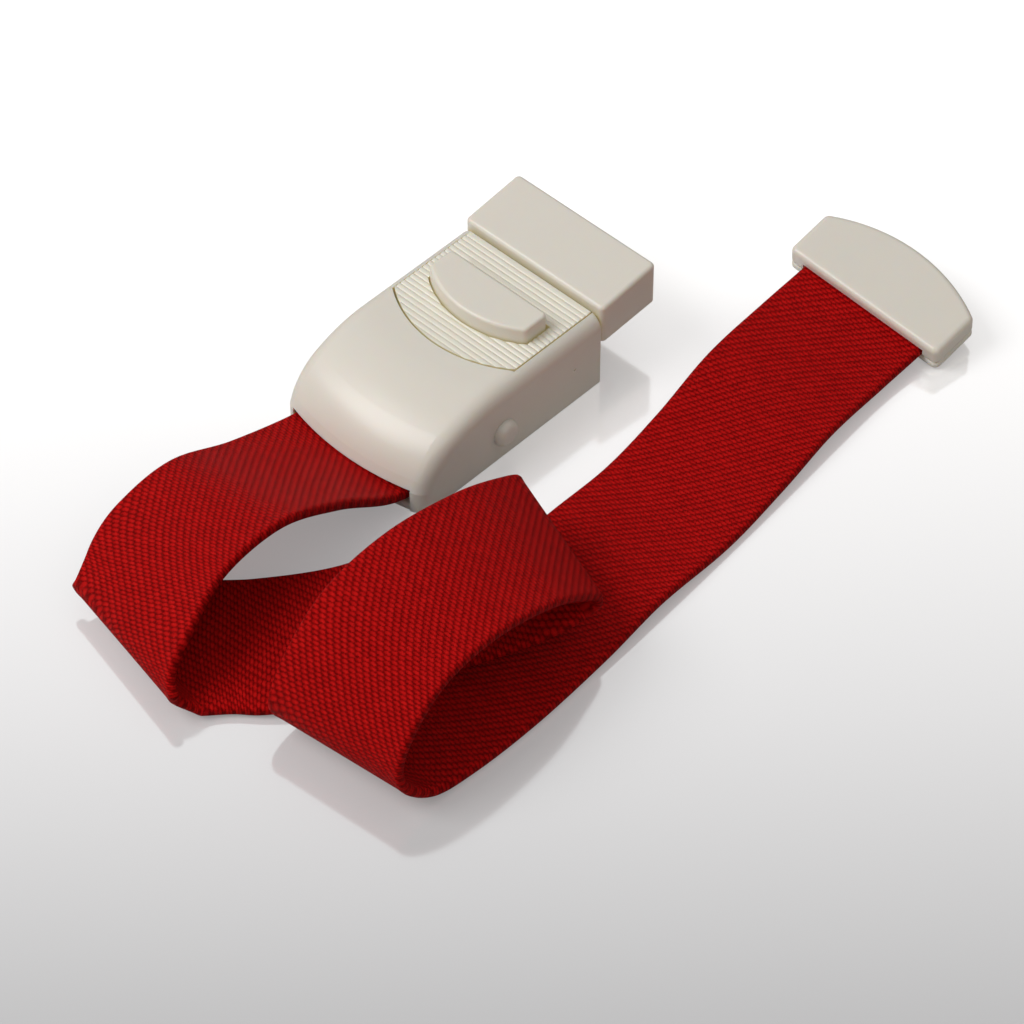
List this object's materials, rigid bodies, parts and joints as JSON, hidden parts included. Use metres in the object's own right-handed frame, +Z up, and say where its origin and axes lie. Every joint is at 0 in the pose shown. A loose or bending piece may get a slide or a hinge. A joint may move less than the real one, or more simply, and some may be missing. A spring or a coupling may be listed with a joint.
{
  "type": "quick-release tourniquet",
  "caption": "Quick-release tourniquet: ivory clamp buckle with ribbed lever and thumb button, plug end and folded red elastic strap with a D-shaped pull tab.",
  "frame": {"origin": "middle of the buckle housing's flat underside", "axes": "+X from the strap outlet at the nose towards the plug end, +Z up, away from the resting face, +Y to the side away from the folded strap"},
  "size_m": [0.1478, 0.0741, 0.0229],
  "materials": {
    "housing_plastic": "satin",
    "lever_plastic": "satin",
    "button_plastic": "satin",
    "plug_plastic": "satin",
    "tab_plastic": "satin",
    "inner_plastic": "matte",
    "webbing": "matte",
    "spring_steel": "satin",
    "pin_steel": "satin"
  },
  "bodies": {
    "housing": {"housing_shell": "housing_plastic", "base_plate": "housing_plastic", "anvil_strip": "inner_plastic", "inner_frame": "inner_plastic", "axle_pin": "housing_plastic", "axle_cap": "housing_plastic", "clamp_springs": "spring_steel", "lever_spring": "spring_steel", "strap_main": "webbing"},
    "cam": {"clamp_cam": "inner_plastic"},
    "lever": {"release_lever": "lever_plastic"},
    "button": {"thumb_button": "button_plastic"},
    "plug": {"plug_head": "plug_plastic", "plug_tongue": "inner_plastic", "anchor_pin": "pin_steel", "strap_anchor_end": "webbing"},
    "tail": {"strap_tail": "webbing", "tip_upper_shell": "tab_plastic", "tip_lower_shell": "tab_plastic", "tip_pins": "tab_plastic"}
  },
  "joints": [
    {"name": "lever_press", "type": "hinge", "parent": "housing", "child": "lever", "pos_m": [0.0055, 0, 0.0105], "axis": [0, 1, 0], "range_deg": [0, 7.4], "deforming": ["lever_spring"]},
    {"name": "button_press", "type": "slide", "parent": "lever", "child": "button", "axis": [0, 0, -1], "range_m": [0, 0.0014]},
    {"name": "clamp_release", "type": "hinge", "parent": "housing", "child": "cam", "pos_m": [-0.0007, 0, 0.0053], "axis": [0, 1, 0], "range_deg": [0, 8.6], "deforming": ["clamp_springs"]},
    {"name": "plug_slide", "type": "slide", "parent": "housing", "child": "plug", "axis": [1, 0, 0], "range_m": [0, 0.018]},
    {"name": "tail_lift", "type": "hinge", "parent": "housing", "child": "tail", "pos_m": [0.008, -0.042, 0.0009], "axis": [0.0349, -0.9994, 0], "range_deg": [0, 60]}
  ],
  "couplings": [
    {"joint": "clamp_release", "follows": "button_press", "rad_per_m": 107}
  ]
}
